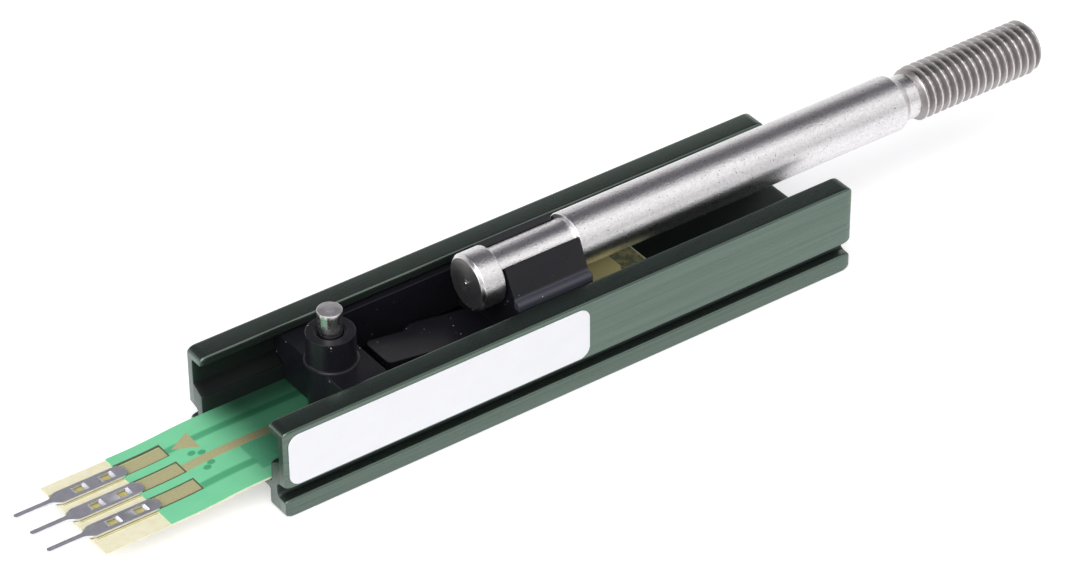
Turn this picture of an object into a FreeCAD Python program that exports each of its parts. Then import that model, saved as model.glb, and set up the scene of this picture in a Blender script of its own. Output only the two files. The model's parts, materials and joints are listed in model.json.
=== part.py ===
"""Linear transducer with a 25 mm stroke, an open housing and a threaded pull rod, in millimetres.

X runs along the rod towards its thread, Y across the housing and Z up. The housing stands on Z = 0,
and the origin is under the middle of the whole length, from the contact pins to the rod's end.
"""
import FreeCAD, Part
import math
import os

# Housing: an extruded channel with a guide groove in each inner wall and a clamp groove outside.
housing_length = 56.9
housing_width = 14.2
housing_height = 8.5
channel_width = 10.0
lip_opening = 9.86
lip_height = 0.95
guide_wall = 0.9
guide_height = 2.25
guide_slope = 0.7
foot_height = 1.75
foot_width = 2.4
floor_thickness = 1.05
clamp_groove_depth = 1.15
clamp_groove_height = 1.07
clamp_groove_radius = 0.38
profile_round = 0.28
inner_round = 0.15
end_chamfer = 0.12

# Membrane sensor: three bonded films on the housing's floor, with a tail that reaches out at the left.
film_side_clearance = 0.03
film_tail = 15.13
film_reach = 41.45
base_film_thickness = 0.14
spacer_thickness = 0.05
top_film_thickness = 0.08
top_film_tail = 9.2
top_film_reach = 39.0
track_slot_width = 4.6
track_slot_start = 7.9
track_slot_margin = 1.7
pad_offset = 0.45
pad_opening_width = 1.45
pad_opening_end = 5.0
tail_drop = 0.38
tail_drop_start = 0.4
tail_drop_length = 7.8

# Contacts on the end of the tail, each stamped from sheet and pressed down to its printed pad.
contact_count = 3
contact_pitch = 2.54
contact_offset = 0.25
contact_width = 1.5
contact_length = 6.2
contact_inset = 0.3
contact_sheet = 0.18
contact_rise = 0.15
contact_corner = 0.45
shoulder_length = 0.75
shoulder_front_round = 0.9
shoulder_rear_round = 0.5
pin_width = 0.48
pin_length = 3.2
pin_taper = 0.12
window_count = 2
contact_window_length = 1.25
contact_window_width = 0.8
contact_window_margin = 1.37
contact_window_gap = 1.2
contact_tab_reach = 0.25

# Label on the front face of the housing.
label_length = 29.1
label_height = 4.85
label_thickness = 0.08
label_left_margin = 0.45
label_foot_margin = 3.12
label_round = 1.0

# Moulded carriage that slides in the guide grooves.
carriage_start = 7.65
slide_clearance = 0.1
film_clearance = 0.15
rail_inner_width = 8.9
block_length = 4.3
boss_diameter = 4.1
boss_height = 2.85
boss_inset = 1.58
tongue_gap = 1.5
tongue_width = 3.6
tongue_root_width = 5.0
tongue_neck_length = 3.75
tongue_flare_length = 1.2
tongue_thickness = 0.9
tongue_tip_drop = 1.25
tongue_root_drop = 3.1
tongue_round = 0.65
tongue_root_overlap = 0.5
window_length = 12.8
clip_length = 7.4
clip_wall_foot = 3.45
clip_tip_half_width = 2.1
clip_tip_height = 1.74
clip_mouth = 3.2
clip_bead_width = 0.65
clip_bead_height = 1.0
clip_bead_radius = 0.45
clip_core_length = 5.4
clip_core_width = 6.4
clip_roof = 1.25
moulding_round = 0.2

# Pull rod, turned from bar, with a neck for the clip and a screw thread at its end.
rod_diameter = 5.0
rod_axis_height = 9.24
neck_diameter = 4.0
neck_clearance = 0.05
neck_end_play = 0.1
disc_length = 2.3
disc_chamfer = 0.28
shoulder_chamfer = 0.14
pip_diameter = 0.3
pip_length = 0.12
shank_length = 35.1
shank_chamfer = 0.75
relief_diameter = 4.0
relief_length = 1.15
thread_diameter = 4.9
thread_length = 13.6
thread_chamfer = 0.55
thread_tip_diameter = 4.0

# Spring-loaded wiper pin in the carriage's boss.
wiper_diameter = 2.0
wiper_clearance = 0.08
wiper_head_diameter = 2.1
wiper_head_height = 0.45
wiper_head_chamfer = 0.1
wiper_rise = 2.1
wiper_collar_diameter = 2.9
wiper_collar_height = 0.6
wiper_nose_diameter = 1.6
wiper_nose_height = 0.9
wiper_touch_gap = 0.02
boss_rim_diameter = 2.6
boss_rim_depth = 0.15
spring_wire = 0.28
spring_wire_sides = 8
spring_turns = 6
spring_side_clearance = 0.17
spring_end_gap = 0.02
spring_roof = 1.0
spring_chamber_diameter = 3.3

# How far a cutting tool runs past the face that it opens.
cut_margin = 1.0

# Heights and places that follow from the sizes above.
floor_top = foot_height + floor_thickness
film_width = channel_width - 2 * film_side_clearance
film_thickness = base_film_thickness + spacer_thickness + top_film_thickness
film_top = floor_top + film_thickness
tail_top = floor_top + base_film_thickness - tail_drop
guide_top = housing_height - lip_height
guide_foot = guide_top - guide_height
carriage_foot = film_top + film_clearance
carriage_top = guide_top - slide_clearance
boss_top = carriage_top + boss_height
carriage_length = block_length + window_length + clip_length
boss_centre = carriage_start + boss_inset
clip_start = carriage_start + block_length + window_length
bore_radius = neck_diameter / 2 + neck_clearance
disc_start = clip_start - neck_end_play - disc_length
shoulder = clip_start + clip_length + neck_end_play
shank_end = shoulder + shank_length
thread_start = shank_end + relief_length
rod_end = thread_start + thread_length
pin_reach = film_tail - contact_inset + shoulder_length + pin_length
left_end = -(rod_end - pin_reach) / 2


def vec(x, y, z):
    return FreeCAD.Vector(x, y, z)


def corner_arc(before, corner, after, radius):
    """The two tangent points and the middle of an arc that rounds one corner of an outline."""
    to_before = (before - corner).normalize()
    to_after = (after - corner).normalize()
    half_angle = to_before.getAngle(to_after) / 2
    reach = radius / math.tan(half_angle)
    bisector = (to_before + to_after).normalize()
    centre = corner + bisector * (radius / math.sin(half_angle))
    return corner + to_before * reach, centre - bisector * radius, corner + to_after * reach


def rounded_face(corners):
    """A flat face from (point, radius) pairs; a radius of zero leaves that corner sharp."""
    edges = []
    points = [point for point, radius in corners]
    first = None
    last = None
    for index, (corner, radius) in enumerate(corners):
        after = points[(index + 1) % len(points)]
        if radius > 0:
            start, middle, end = corner_arc(points[index - 1], corner, after, radius)
        else:
            start, end = corner, corner
        if last is not None:
            edges.append(Part.makeLine(last, start))
        if radius > 0:
            edges.append(Part.Arc(start, middle, end).toShape())
        if first is None:
            first = start
        last = end
    edges.append(Part.makeLine(last, first))
    return Part.Face(Part.Wire(edges))


def mirrored_section(half, x):
    """A face across the housing at x, from the (y, z, radius) corners of its half on the +Y side."""
    right = [(vec(x, y, z), radius) for y, z, radius in half]
    left = [(vec(x, -y, z), radius) for y, z, radius in reversed(half)]
    return rounded_face(right + left)


def bar(half, x, length):
    """The solid that a mirrored section makes when it is drawn out along X."""
    return mirrored_section(half, x).extrude(vec(length, 0, 0))


def strip(outline, y, width):
    """A solid from an (x, z) outline, drawn out along Y with its middle at y."""
    corners = [vec(x, y - width / 2, z) for x, z in outline]
    face = Part.Face(Part.makePolygon(corners + [corners[0]]))
    return face.extrude(vec(0, width, 0))


def box_between(low, high):
    size = high - low
    return Part.makeBox(size.x, size.y, size.z, low)


def housing_half_section():
    half_width = housing_width / 2
    half_channel = channel_width / 2
    groove_floor = half_width - clamp_groove_depth
    groove_top = foot_height + clamp_groove_height
    guide_side = half_width - guide_wall
    return [
        (half_width - foot_width, foot_height, inner_round),
        (half_width - foot_width, 0, profile_round),
        (half_width, 0, profile_round),
        (half_width, foot_height, profile_round),
        (groove_floor, foot_height, clamp_groove_radius),
        (groove_floor, groove_top, clamp_groove_radius),
        (half_width, groove_top, profile_round),
        (half_width, housing_height, profile_round),
        (lip_opening / 2, housing_height, profile_round),
        (lip_opening / 2, guide_top, profile_round),
        (guide_side, guide_top, inner_round),
        (guide_side, guide_foot, inner_round),
        (half_channel, guide_foot - guide_slope, profile_round),
        (half_channel, floor_top, 0),
    ]


def make_housing():
    """The extrusion, with a small chamfer round the section at both of its sawn ends."""
    channel = bar(housing_half_section(), left_end, housing_length)
    ends = (left_end, left_end + housing_length)
    end_edges = [
        edge
        for edge in channel.Edges
        if min(abs(vertex.X - end) for vertex in edge.Vertexes[:1] for end in ends) < 1e-6
        and edge.BoundBox.XLength < 1e-6
    ]
    return channel.makeChamfer(end_chamfer, end_edges)


def film_surface(height, x_from, x_to):
    """Edges of a film face, from x_from on the tail to x_to: flat, a gentle double bend, then flat."""
    turn = 2 * math.atan(tail_drop / tail_drop_length)
    radius = tail_drop_length / (2 * math.sin(turn))
    bend_end = left_end - tail_drop_start
    bend_start = bend_end - tail_drop_length
    high = floor_top + height
    low = high - tail_drop
    lower_centre = vec(bend_start, 0, floor_top - tail_drop + radius)
    upper_centre = vec(bend_end, 0, floor_top - radius)

    def around(centre, distance, angle):
        return centre + vec(-math.sin(angle), 0, math.cos(angle)) * distance

    return [
        Part.makeLine(vec(x_from, 0, low), vec(bend_start, 0, low)),
        Part.Arc(
            vec(bend_start, 0, low),
            around(lower_centre, height - radius, turn / 2),
            around(lower_centre, height - radius, turn),
        ).toShape(),
        Part.Arc(
            around(upper_centre, radius + height, turn),
            around(upper_centre, radius + height, turn / 2),
            vec(bend_end, 0, high),
        ).toShape(),
        Part.makeLine(vec(bend_end, 0, high), vec(x_to, 0, high)),
    ]


def make_film(height, thickness, tail, reach):
    """One film of the sensor, which starts at a height above the floor and follows the tail's bend."""
    x_from = left_end - tail
    x_to = left_end + reach
    low = floor_top + height - tail_drop
    high = floor_top + height
    edges = film_surface(height, x_from, x_to) + film_surface(height + thickness, x_from, x_to)
    edges.append(Part.makeLine(vec(x_from, 0, low), vec(x_from, 0, low + thickness)))
    edges.append(Part.makeLine(vec(x_to, 0, high), vec(x_to, 0, high + thickness)))
    face = Part.Face(Part.Wire(Part.__sortEdges__(edges)))
    face.translate(vec(0, -film_width / 2, 0))
    return face.extrude(vec(0, film_width, 0))


def place_in_row(index):
    """How far a contact or a pad lies from the middle of its row of three, along Y."""
    return (index - (contact_count - 1) / 2) * contact_pitch


def make_covering_film(height, thickness):
    """A film that covers the base film's print, with a notch in its tail round each contact's pad."""
    film = make_film(height, thickness, top_film_tail, top_film_reach)
    for index in range(contact_count):
        y = pad_offset + place_in_row(index)
        notch = box_between(
            vec(left_end - top_film_tail - cut_margin, y - pad_opening_width / 2, 0),
            vec(left_end - pad_opening_end, y + pad_opening_width / 2, housing_height),
        )
        film = film.cut(notch)
    return film


def make_spacer():
    """The bonding spacer, cut out over the track so that the films touch only under the wiper."""
    slot = box_between(
        vec(left_end + track_slot_start, -track_slot_width / 2, 0),
        vec(left_end + top_film_reach - track_slot_margin, track_slot_width / 2, housing_height),
    )
    return make_covering_film(base_film_thickness, spacer_thickness).cut(slot)


def make_top_film():
    """The upper film, which the wiper presses down on the base film's track."""
    return make_covering_film(base_film_thickness + spacer_thickness, top_film_thickness)


def contact_face(y, z, x_tip):
    """Plan view of a contact: tapered pin tip, pin, flared shoulder and plate."""
    x_shoulder = x_tip + pin_length
    x_plate = x_shoulder + shoulder_length
    x_end = x_plate + contact_length
    half_pin = pin_width / 2
    half_plate = contact_width / 2
    front = [
        (x_tip, half_pin - pin_taper, 0),
        (x_tip + pin_taper, half_pin, 0),
        (x_shoulder, half_pin, shoulder_front_round),
        (x_plate, half_plate, 0),
        (x_end - contact_corner, half_plate, 0),
        (x_end, half_plate - contact_corner, 0),
    ]
    rear = [
        (x_end, half_plate - contact_corner, 0),
        (x_end - contact_corner, half_plate, 0),
        (x_plate, half_plate, shoulder_rear_round),
        (x_shoulder, half_pin, 0),
        (x_tip + pin_taper, half_pin, 0),
        (x_tip, half_pin - pin_taper, 0),
    ]
    corners = [(vec(x, y - across, z), radius) for x, across, radius in front]
    corners += [(vec(x, y + across, z), radius) for x, across, radius in rear]
    return rounded_face(corners)


def contact_tab(x, y, direction):
    """A tab at one end of a window, bent down from the plate to the pad on the tail."""
    plate_foot = tail_top + contact_rise
    outline = [
        (x, plate_foot),
        (x, plate_foot + contact_sheet),
        (x + direction * contact_tab_reach, tail_top + contact_sheet),
        (x + direction * contact_tab_reach, tail_top),
    ]
    return strip(outline, y, contact_window_width)


def make_contact(index):
    """A contact: a pin and a raised plate with two windows, whose bent tabs stand on the pad."""
    y = contact_offset + place_in_row(index)
    plate_foot = tail_top + contact_rise
    contact = contact_face(y, plate_foot, left_end - pin_reach).extrude(vec(0, 0, contact_sheet))
    x_plate = left_end - film_tail + contact_inset
    for window in range(window_count):
        x_low = x_plate + contact_window_margin + window * (contact_window_length + contact_window_gap)
        x_high = x_low + contact_window_length
        opening = box_between(
            vec(x_low, y - contact_window_width / 2, plate_foot - contact_rise),
            vec(x_high, y + contact_window_width / 2, plate_foot + contact_sheet + cut_margin),
        )
        contact = contact.cut(opening).fuse([contact_tab(x_low, y, 1), contact_tab(x_high, y, -1)])
    return contact.removeSplitter()


def make_label():
    """The blank label, stuck on the flat upper part of the housing's front face."""
    x_from = left_end + label_left_margin
    z_from = label_foot_margin
    face_y = -housing_width / 2
    x_to = x_from + label_length
    z_to = z_from + label_height
    corners = [(x_from, z_from), (x_to, z_from), (x_to, z_to), (x_from, z_to)]
    face = rounded_face([(vec(x, face_y, z), label_round) for x, z in corners])
    return face.extrude(vec(0, -label_thickness, 0))


def guide_flange():
    """(y, z, radius) corners of the side that runs in the housing's guide groove, from the foot up."""
    wall = min(channel_width, lip_opening) / 2 - slide_clearance
    flange = housing_width / 2 - guide_wall - slide_clearance
    slope = guide_slope / (housing_width / 2 - guide_wall - channel_width / 2)
    slope_clearance = slide_clearance * math.sqrt(1 + slope ** 2) - slide_clearance * slope
    flange_foot = guide_foot + max(slope_clearance, slide_clearance)
    return [
        (wall, carriage_foot, 0),
        (wall, flange_foot - slope * (flange - wall), 0),
        (flange, flange_foot, moulding_round),
        (flange, carriage_top, moulding_round),
    ]


def make_rail(side):
    """One of the two side rails that join the wiper block to the clip."""
    inner = rail_inner_width / 2
    section = [(inner, carriage_foot, 0)] + guide_flange() + [(inner, carriage_top, 0)]
    x = left_end + carriage_start
    face = rounded_face([(vec(x, side * y, z), radius) for y, z, radius in section])
    return face.extrude(vec(carriage_length, 0, 0))


def make_block():
    """The wiper's end of the carriage, with the round boss that runs down its full height."""
    block = bar(guide_flange(), left_end + carriage_start, block_length)
    boss_foot = vec(left_end + boss_centre, 0, carriage_foot)
    boss = Part.makeCylinder(boss_diameter / 2, boss_top - carriage_foot, boss_foot)
    return block.fuse(boss)


def wiper_bores():
    """The spring's chamber, the pin's guide hole above it and the shallow rim round the hole."""
    x = left_end + boss_centre
    low = carriage_foot - cut_margin
    chamber_height = boss_top - spring_roof - low
    chamber = Part.makeCylinder(spring_chamber_diameter / 2, chamber_height, vec(x, 0, low))
    hole_radius = wiper_diameter / 2 + wiper_clearance
    hole = Part.makeCylinder(hole_radius, boss_top + cut_margin - low, vec(x, 0, low))
    rim_foot = vec(x, 0, boss_top - boss_rim_depth)
    rim = Part.makeCylinder(boss_rim_diameter / 2, boss_rim_depth + cut_margin, rim_foot)
    return [chamber, hole, rim]


def make_tongue():
    """The sloping spring tongue, free and rounded at its left end, which flares to its root."""
    x_tip = left_end + carriage_start + block_length + tongue_gap
    x_root = left_end + clip_start + tongue_root_overlap
    x_flare = x_tip + tongue_neck_length
    tip_z = carriage_top - tongue_tip_drop
    root_z = carriage_top - tongue_root_drop
    outline = [
        (x_tip, tip_z),
        (x_root, root_z),
        (x_root, root_z - tongue_thickness),
        (x_tip, tip_z - tongue_thickness),
    ]
    half_plan = [
        (x_tip, tongue_width / 2, tongue_round),
        (x_flare, tongue_width / 2, 0),
        (x_flare + tongue_flare_length, tongue_root_width / 2, 0),
        (x_root, tongue_root_width / 2, 0),
    ]
    plan = [(vec(x, -y, 0), radius) for x, y, radius in half_plan]
    plan += [(vec(x, y, 0), radius) for x, y, radius in reversed(half_plan)]
    blank = rounded_face(plan).extrude(vec(0, 0, carriage_top))
    return strip(outline, 0, tongue_root_width).common(blank)


def clip_half_section():
    """Half of the clip: guide flange, rounded bead and a wall that leans in over the rod's neck."""
    mouth = clip_mouth / 2
    mouth_z = rod_axis_height + math.sqrt(bore_radius ** 2 - mouth ** 2)
    bead_top = carriage_top + clip_bead_height
    return guide_flange() + [
        (clip_wall_foot + clip_bead_width, carriage_top, 0),
        (clip_wall_foot + clip_bead_width, bead_top, clip_bead_radius),
        (clip_wall_foot, bead_top, 0),
        (clip_tip_half_width, rod_axis_height + clip_tip_height, 0),
        (mouth, mouth_z, 0),
    ]


def make_clip():
    """The snap clip that holds the rod's neck, cored out from below."""
    x = left_end + clip_start
    clip = bar(clip_half_section(), x, clip_length)
    bore_start = vec(x - cut_margin, 0, rod_axis_height)
    bore = Part.makeCylinder(bore_radius, clip_length + 2 * cut_margin, bore_start, vec(1, 0, 0))
    core_start = x + (clip_length - clip_core_length) / 2
    core = box_between(
        vec(core_start, -clip_core_width / 2, carriage_foot - cut_margin),
        vec(core_start + clip_core_length, clip_core_width / 2, rod_axis_height - bore_radius - clip_roof),
    )
    return clip.cut(bore).cut(core)


def make_carriage():
    """One moulding: wiper block and boss, two guide rails, spring tongue and rod clip."""
    carriage = make_block()
    for piece in (make_rail(-1), make_rail(1), make_tongue(), make_clip()):
        carriage = carriage.fuse(piece)
    for bore in wiper_bores():
        carriage = carriage.cut(bore)
    return carriage.removeSplitter()


def make_pull_rod():
    """The rod as turned, up to the crests of its thread, with the parting pip on its disc."""
    radius = rod_diameter / 2
    pip = pip_diameter / 2
    neck = neck_diameter / 2
    relief = relief_diameter / 2
    crest = thread_diameter / 2
    neck_start = disc_start + disc_length
    outline = [
        (disc_start - pip_length, 0),
        (disc_start - pip_length, pip),
        (disc_start, pip),
        (disc_start, radius - disc_chamfer),
        (disc_start + disc_chamfer, radius),
        (neck_start - shoulder_chamfer, radius),
        (neck_start, radius - shoulder_chamfer),
        (neck_start, neck),
        (shoulder, neck),
        (shoulder, radius - shoulder_chamfer),
        (shoulder + shoulder_chamfer, radius),
        (shank_end - shank_chamfer, radius),
        (shank_end, relief),
        (thread_start, relief),
        (thread_start + crest - relief, crest),
        (rod_end - thread_chamfer, crest),
        (rod_end, thread_tip_diameter / 2),
        (rod_end, 0),
    ]
    points = [vec(left_end + x, 0, rod_axis_height + across) for x, across in outline]
    face = Part.Face(Part.makePolygon(points + [points[0]]))
    return face.revolve(vec(0, 0, rod_axis_height), vec(1, 0, 0), 360)


def make_wiper_pin():
    """Steel pin with a ball nose on the film, a collar under the spring and a head above the boss."""
    x = left_end + boss_centre
    foot = film_top + wiper_touch_gap
    nose = wiper_nose_diameter / 2
    shank = wiper_diameter / 2
    head = wiper_head_diameter / 2
    collar = wiper_collar_diameter / 2
    collar_foot = foot + wiper_nose_height
    collar_top = collar_foot + wiper_collar_height
    head_top = boss_top + wiper_rise
    head_foot = head_top - wiper_head_height
    nose_start = vec(x, 0, foot)
    nose_middle = vec(x + nose * math.sin(math.pi / 4), 0, foot + nose * (1 - math.cos(math.pi / 4)))
    nose_end = vec(x + nose, 0, foot + nose)
    outline = [
        (nose, collar_foot),
        (collar, collar_foot),
        (collar, collar_top),
        (shank, collar_top),
        (shank, head_foot),
        (head, head_foot),
        (head, head_top - wiper_head_chamfer),
        (head - wiper_head_chamfer, head_top),
        (0, head_top),
    ]
    points = [nose_end] + [vec(x + across, 0, z) for across, z in outline] + [nose_start]
    nose_arc = Part.Arc(nose_start, nose_middle, nose_end).toShape()
    face = Part.Face(Part.Wire([nose_arc] + Part.makePolygon(points).Edges))
    return face.revolve(vec(x, 0, 0), vec(0, 0, 1), 360)


def make_wiper_spring():
    """Coil spring round the pin, between its collar and the roof of the boss.

    Each half turn is the wire's section, an octagon as wide as the wire, swept half way round an
    axis that leans a little, so that it climbs half a pitch. Its ends lie square to Y, where the
    next half turn meets them.
    """
    wire_radius = spring_wire / 2
    coil_radius = spring_chamber_diameter / 2 - spring_side_clearance - wire_radius
    x = left_end + boss_centre
    collar_top = film_top + wiper_touch_gap + wiper_nose_height + wiper_collar_height
    low = collar_top + spring_end_gap + wire_radius
    high = boss_top - spring_roof - spring_end_gap - wire_radius
    half_turns = 2 * spring_turns
    climb = (high - low) / half_turns
    corner_radius = wire_radius / math.cos(math.pi / spring_wire_sides)
    spokes = []
    for corner in range(spring_wire_sides):
        angle = 2 * math.pi * (corner + 0.5) / spring_wire_sides
        spokes.append(vec(math.cos(angle), 0, math.sin(angle)) * corner_radius)
    pieces = []
    for half_turn in range(half_turns):
        side = 1 if half_turn % 2 == 0 else -1
        start = vec(x + side * coil_radius, 0, low + half_turn * climb)
        end = vec(x - side * coil_radius, 0, low + (half_turn + 1) * climb)
        corners = [start + spoke for spoke in spokes]
        wire = Part.Face(Part.makePolygon(corners + [corners[0]]))
        axis = vec(side * climb, 0, 2 * coil_radius)
        pieces.append(wire.revolve((start + end) / 2, axis, 180))
    return pieces[0].fuse(pieces[1:]).removeSplitter()


def export(shape, name):
    """Write one solid to its own file."""
    shape.Solids[0].exportStep(os.path.join("parts", name + ".step"))


def main():
    os.makedirs("parts", exist_ok=True)
    export(make_housing(), "housing")
    export(make_label(), "label")
    export(make_film(0, base_film_thickness, film_tail, film_reach), "base_film")
    export(make_spacer(), "film_spacer")
    export(make_top_film(), "top_film")
    for index in range(contact_count):
        export(make_contact(index), "contact_%d" % (index + 1))
    export(make_carriage(), "carriage")
    export(make_wiper_pin(), "wiper_pin")
    export(make_wiper_spring(), "wiper_spring")
    export(make_pull_rod(), "pull_rod")


main()
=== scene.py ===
"""Finishes, fine shapes and studio of a linear transducer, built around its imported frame.

Places are in the frame's metres; sizes of the object's own details are fields in millimetres.
"""
import json
import logging
import math
from dataclasses import dataclass, field
from enum import Enum
from typing import Any, Sequence

import bmesh
import bpy
import numpy as np
from mathutils import Matrix, Vector

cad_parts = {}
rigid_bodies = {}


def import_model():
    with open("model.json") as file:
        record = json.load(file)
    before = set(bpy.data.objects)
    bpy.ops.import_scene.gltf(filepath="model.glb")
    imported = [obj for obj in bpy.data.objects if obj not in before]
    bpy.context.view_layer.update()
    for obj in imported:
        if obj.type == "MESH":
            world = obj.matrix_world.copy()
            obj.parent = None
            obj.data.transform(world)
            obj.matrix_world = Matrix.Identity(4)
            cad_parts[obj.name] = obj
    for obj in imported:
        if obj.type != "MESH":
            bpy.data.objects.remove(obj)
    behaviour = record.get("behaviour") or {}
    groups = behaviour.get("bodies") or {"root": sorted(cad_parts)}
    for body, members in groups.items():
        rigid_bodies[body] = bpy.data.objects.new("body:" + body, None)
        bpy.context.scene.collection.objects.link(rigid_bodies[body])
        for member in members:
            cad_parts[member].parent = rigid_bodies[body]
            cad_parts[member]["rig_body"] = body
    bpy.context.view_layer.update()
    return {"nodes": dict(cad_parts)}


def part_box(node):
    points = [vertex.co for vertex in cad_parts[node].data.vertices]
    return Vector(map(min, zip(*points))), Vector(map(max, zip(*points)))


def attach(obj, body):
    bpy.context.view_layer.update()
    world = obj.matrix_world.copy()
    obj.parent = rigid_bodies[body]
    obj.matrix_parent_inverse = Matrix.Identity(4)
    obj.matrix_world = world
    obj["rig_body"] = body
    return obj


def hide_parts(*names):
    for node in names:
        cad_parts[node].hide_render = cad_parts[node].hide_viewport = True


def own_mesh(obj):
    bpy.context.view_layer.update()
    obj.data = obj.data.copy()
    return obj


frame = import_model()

MM = 0.001
MERGE_GAP = 1e-7
FLAT_BEND = math.radians(1.0)
SHARP_BEND = math.radians(38)
log = logging.getLogger("transducer")

Colour = tuple[float, float, float, float]


def paint(red: int, green: int, blue: int) -> Colour:
    """A colour as it looks on a screen, turned into the linear values that shaders use.

    Args:
        red, green, blue: the colour's parts from 0 to 255.

    Returns:
        The linear colour with an alpha of one.
    """
    shares = (part / 255 for part in (red, green, blue))
    linear = [s / 12.92 if s <= 0.04045 else ((s + 0.055) / 1.055) ** 2.4 for s in shares]
    return (linear[0], linear[1], linear[2], 1.0)


class Signal:
    """A shader socket whose arithmetic adds Math nodes to its graph."""

    def __init__(self, graph: "Graph", socket: bpy.types.NodeSocket) -> None:
        """Keep the socket and the graph that it belongs to."""
        self.graph = graph
        self.socket = socket

    def _math(self, operation: str, *operands: Any) -> "Signal":
        """One Math node on this and other operands."""
        return self.graph.node("ShaderNodeMath", {"operation": operation}, dict(enumerate(operands)))

    def __add__(self, other: Any) -> "Signal":
        """This plus another."""
        return self._math("ADD", self, other)

    __radd__ = __add__

    def __mul__(self, other: Any) -> "Signal":
        """This times another."""
        return self._math("MULTIPLY", self, other)

    __rmul__ = __mul__

    def __sub__(self, other: Any) -> "Signal":
        """This less another."""
        return self._math("SUBTRACT", self, other)

    def __rsub__(self, other: Any) -> "Signal":
        """Another less this."""
        return self._math("SUBTRACT", other, self)

    def power(self, exponent: float) -> "Signal":
        """This raised to an exponent."""
        return self._math("POWER", self, exponent)

    def size(self) -> "Signal":
        """This without its sign."""
        return self._math("ABSOLUTE", self)

    def larger(self, other: Any) -> "Signal":
        """The larger of this and another."""
        return self._math("MAXIMUM", self, other)

    def rise(self, low: float, high: float) -> "Signal":
        """A smooth step of this signal.

        Args:
            low: where the step leaves nought.
            high: where the step reaches one.

        Returns:
            The step, from nought to one.
        """
        return self.graph.node(
            "ShaderNodeMapRange",
            {"interpolation_type": "SMOOTHSTEP"},
            {"Value": self, "From Min": low, "From Max": high},
        )


class Graph:
    """A node tree under construction, for a material or for the world."""

    def __init__(self, owner: bpy.types.Material | bpy.types.World) -> None:
        """Empty the owner's node tree and keep it.

        Args:
            owner: the material or the world whose nodes are made.
        """
        owner.use_nodes = True
        self.owner = owner
        self.tree = owner.node_tree
        self.tree.nodes.clear()

    def node(
        self,
        kind: str,
        settings: dict[str, Any] | None = None,
        inputs: dict[int | str, Any] | None = None,
        output: int | str = 0,
    ) -> Signal:
        """Add one node.

        Args:
            kind: the node's type.
            settings: its own settings, set before its sockets.
            inputs: a value or a signal for each socket, by its place, name or identifier.
            output: the output that is wanted, by its place or name.

        Returns:
            That output.
        """
        made = self.tree.nodes.new(kind)
        for key, value in (settings or {}).items():
            setattr(made, key, value)
        for key, value in (inputs or {}).items():
            if isinstance(key, int):
                socket = made.inputs[key]
            else:
                socket = next(s for s in made.inputs if key in (s.identifier, s.name))
            if isinstance(value, Signal):
                self.tree.links.new(value.socket, socket)
            else:
                socket.default_value = value
        return Signal(self, made.outputs[output])

    def split(self, vector: Signal) -> tuple[Signal, Signal, Signal]:
        """The three parts of a vector."""
        parts = self.node("ShaderNodeSeparateXYZ", inputs={0: vector}).socket.node.outputs
        return Signal(self, parts[0]), Signal(self, parts[1]), Signal(self, parts[2])

    def vector(self, x: Any, y: Any, z: Any) -> Signal:
        """A vector from three numbers or signals."""
        return self.node("ShaderNodeCombineXYZ", inputs={0: x, 1: y, 2: z})

    def millimetres(self) -> tuple[Signal, Signal, Signal]:
        """The shaded point in the part's frame, in millimetres.

        Returns:
            Its x, y and z.
        """
        place = self.node("ShaderNodeTexCoord", output="Object")
        scaled = self.node("ShaderNodeVectorMath", {"operation": "SCALE"}, {0: place, "Scale": 1 / MM})
        return self.split(scaled)

    def noise(self, vector: Signal, scale: float = 1.0, detail: float = 2.0, rough: float = 0.5) -> Signal:
        """Soft random values, about one half, over a vector.

        Args:
            vector: where the noise is read.
            scale: how many of its cells lie in one unit.
            detail: how many finer layers are added.
            rough: how strong those layers are.

        Returns:
            The noise.
        """
        inputs = {"Vector": vector, "Scale": scale, "Detail": detail, "Roughness": rough}
        return self.node("ShaderNodeTexNoise", inputs=inputs)

    def mix(self, factor: Any, first: Any, second: Any, how: str = "MIX") -> Signal:
        """Blend two colours.

        Args:
            factor: the share of the second colour.
            first, second: the colours, as values or signals.
            how: the way in which the second colour is laid over the first.

        Returns:
            The blended colour.
        """
        return self.node(
            "ShaderNodeMix",
            {"data_type": "RGBA", "blend_type": how},
            {"Factor_Float": factor, "A_Color": first, "B_Color": second},
            output=2,
        )

    def within(self, value: Signal, low: float, high: float, soft: float) -> Signal:
        """One where a value lies between two limits, with soft edges of a given width."""
        half = soft / 2
        return value.rise(low - half, low + half) * (1 - value.rise(high - half, high + half))

    def bump(self, height: Signal) -> Signal:
        """Tilt the normal by a relief whose height is in millimetres."""
        return self.node("ShaderNodeBump", inputs={"Strength": 1.0, "Distance": MM, "Height": height})

    def surface(self, inputs: dict[int | str, Any]) -> bpy.types.Material:
        """Close a material with its shader.

        Args:
            inputs: the shader's sockets with their values or signals.

        Returns:
            The material.
        """
        shader = self.node("ShaderNodeBsdfPrincipled", inputs=inputs)
        self.node_output("ShaderNodeOutputMaterial", shader)
        return self.owner

    def node_output(self, kind: str, shader: Signal) -> None:
        """Lead a shader to the output node of a material or the world."""
        made = self.tree.nodes.new(kind)
        self.tree.links.new(shader.socket, made.inputs["Surface"])


def new_graph(name: str) -> Graph:
    """A graph for a new material."""
    return Graph(bpy.data.materials.new(name))


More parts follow.
